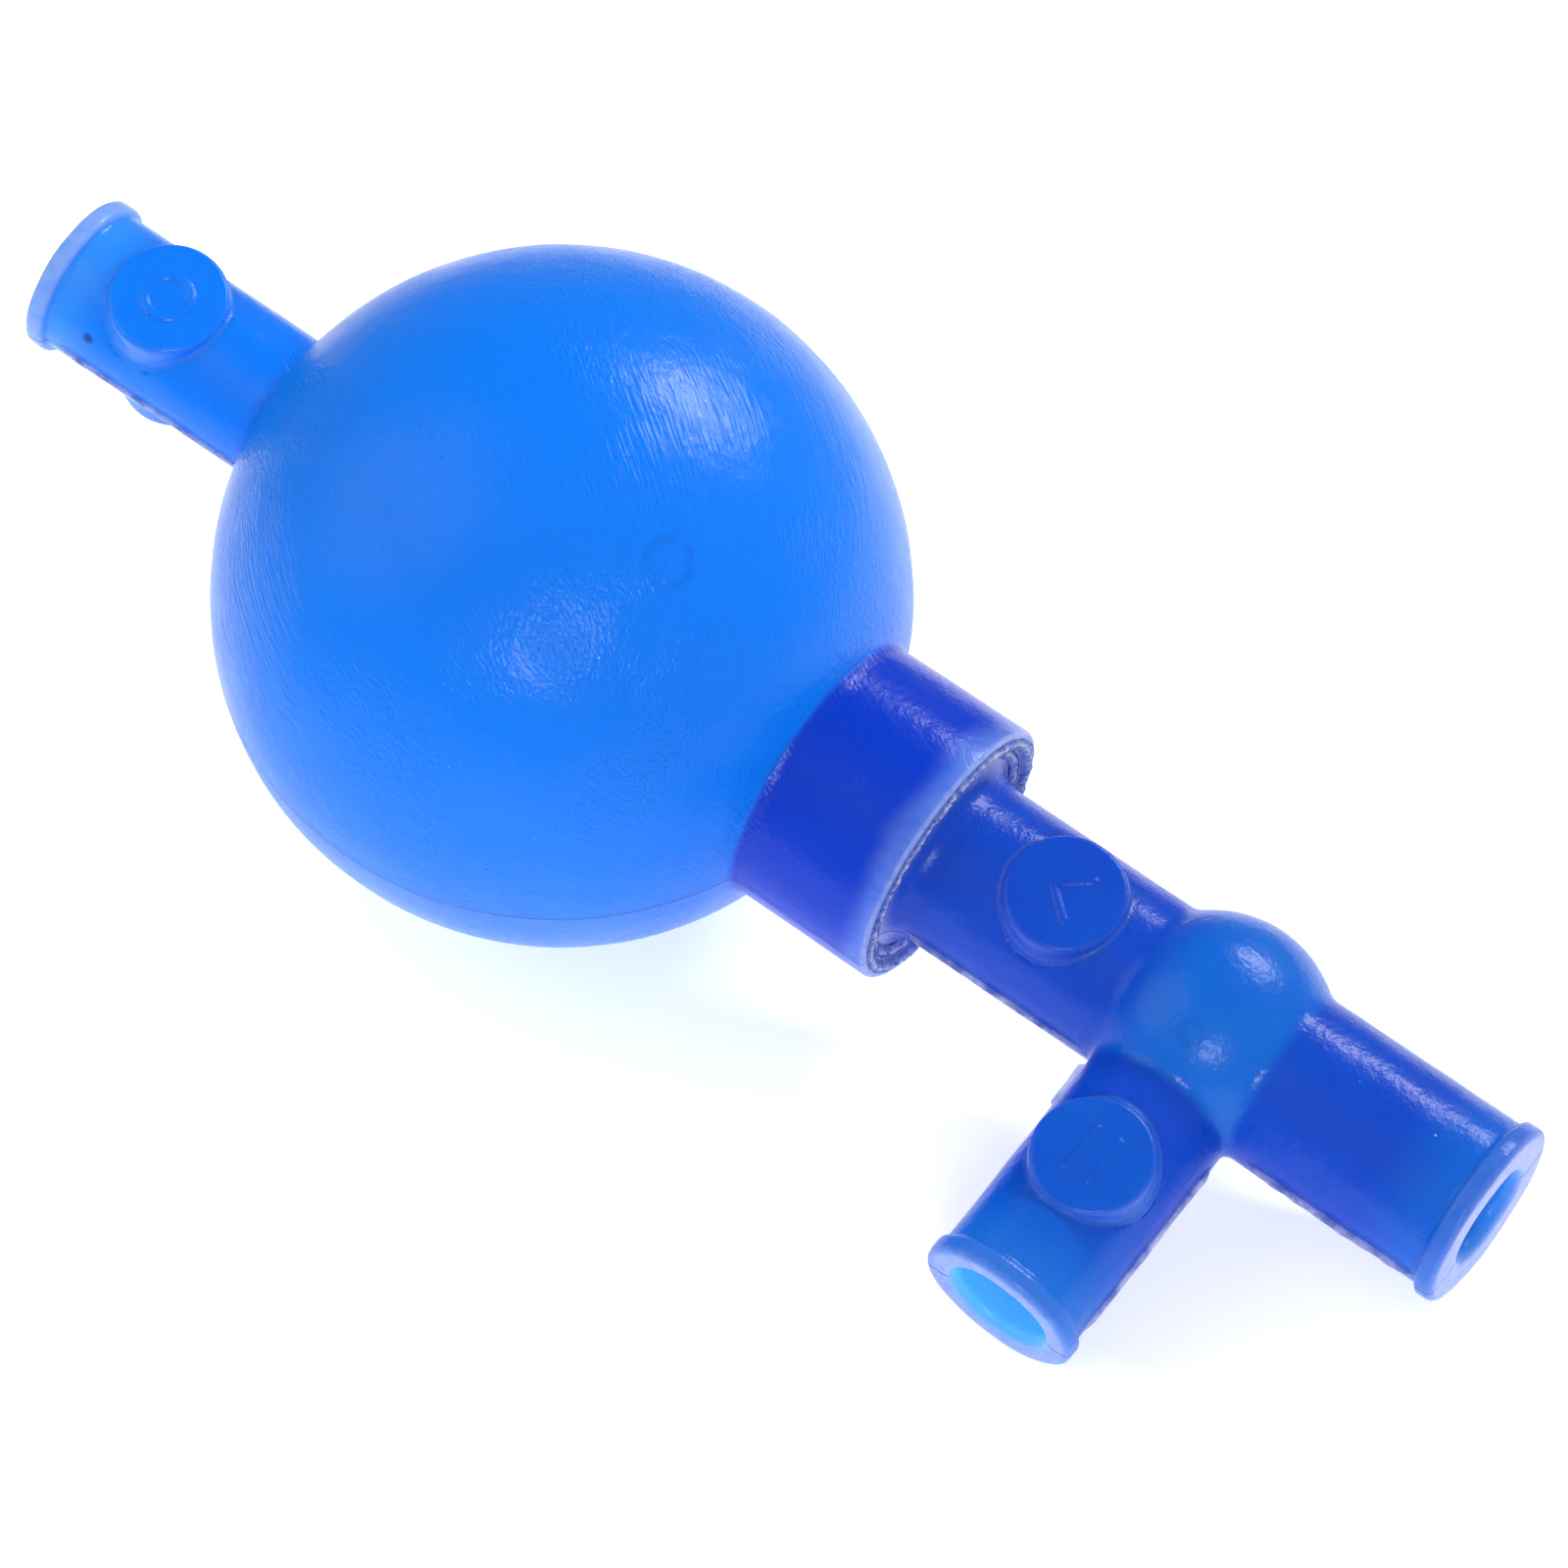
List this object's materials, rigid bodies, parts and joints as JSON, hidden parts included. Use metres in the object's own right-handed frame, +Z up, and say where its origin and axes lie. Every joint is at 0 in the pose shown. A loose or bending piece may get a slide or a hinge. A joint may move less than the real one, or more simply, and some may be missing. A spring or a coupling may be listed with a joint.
{
  "type": "pipette filler bulb",
  "caption": "Squeeze ball with three tube branches and glass-ball valves that open when their pads are pinched, for drawing liquid into a pipette.",
  "frame": {"origin": "centre of the bounding box's base, on the table the filler lies on", "axes": "+Z up, +X along the tubes towards the pipette socket as seen from above, side branch towards -Y; the filler rests on the ball and on the rims of the socket and the side branch"},
  "size_m": [0.1488, 0.0614, 0.06],
  "materials": {
    "bulb_rubber": "satin translucent azure silicone",
    "tee_rubber": "satin translucent deep blue silicone",
    "adhesive": "rough dried glue",
    "valve_glass": "polished"
  },
  "bodies": {
    "filler": {"bulb_body": "bulb_rubber", "bulb_collar": "bulb_rubber", "air_outlet_tube": "bulb_rubber", "suction_stem": "tee_rubber", "junction_bulb": "tee_rubber", "release_tube": "tee_rubber", "pipette_tube": "tee_rubber", "adhesive_bead": "adhesive", "a_valve_ball": "valve_glass", "s_valve_ball": "valve_glass", "e_valve_ball": "valve_glass"},
    "a_front_pad": {"a_front_pad": "bulb_rubber"},
    "a_rear_pad": {"a_rear_pad": "bulb_rubber"},
    "s_front_pad": {"s_front_pad": "tee_rubber"},
    "s_rear_pad": {"s_rear_pad": "tee_rubber"},
    "e_front_pad": {"e_front_pad": "tee_rubber"},
    "e_rear_pad": {"e_rear_pad": "tee_rubber"},
    "bulb_front_wall": {"bulb_front_wall": "bulb_rubber"}
  },
  "joints": [
    {"name": "a_front_pad_press", "type": "slide", "parent": "filler", "child": "a_front_pad", "axis": [-0.2197, 0.2514, -0.9426], "range_m": [0, 0.0015], "stiffness_N_per_m": 900},
    {"name": "a_rear_pad_press", "type": "slide", "parent": "filler", "child": "a_rear_pad", "axis": [0.2197, -0.2514, 0.9426], "range_m": [0, 0.0015], "stiffness_N_per_m": 900},
    {"name": "s_front_pad_press", "type": "slide", "parent": "filler", "child": "s_front_pad", "axis": [-0.2197, 0.2514, -0.9426], "range_m": [0, 0.0015], "stiffness_N_per_m": 900},
    {"name": "s_rear_pad_press", "type": "slide", "parent": "filler", "child": "s_rear_pad", "axis": [0.2197, -0.2514, 0.9426], "range_m": [0, 0.0015], "stiffness_N_per_m": 900},
    {"name": "e_front_pad_press", "type": "slide", "parent": "filler", "child": "e_front_pad", "axis": [-0.2197, 0.2514, -0.9426], "range_m": [0, 0.0015], "stiffness_N_per_m": 900},
    {"name": "e_rear_pad_press", "type": "slide", "parent": "filler", "child": "e_rear_pad", "axis": [0.2197, -0.2514, 0.9426], "range_m": [0, 0.0015], "stiffness_N_per_m": 900},
    {"name": "bulb_squeeze", "type": "slide", "parent": "filler", "child": "bulb_front_wall", "axis": [-0.2197, 0.2514, -0.9426], "range_m": [0, 0.024], "stiffness_N_per_m": 800}
  ],
  "couplings": [
    {"joint": "a_rear_pad_press", "follows": "a_front_pad_press", "ratio": 1},
    {"joint": "s_rear_pad_press", "follows": "s_front_pad_press", "ratio": 1},
    {"joint": "e_rear_pad_press", "follows": "e_front_pad_press", "ratio": 1}
  ]
}
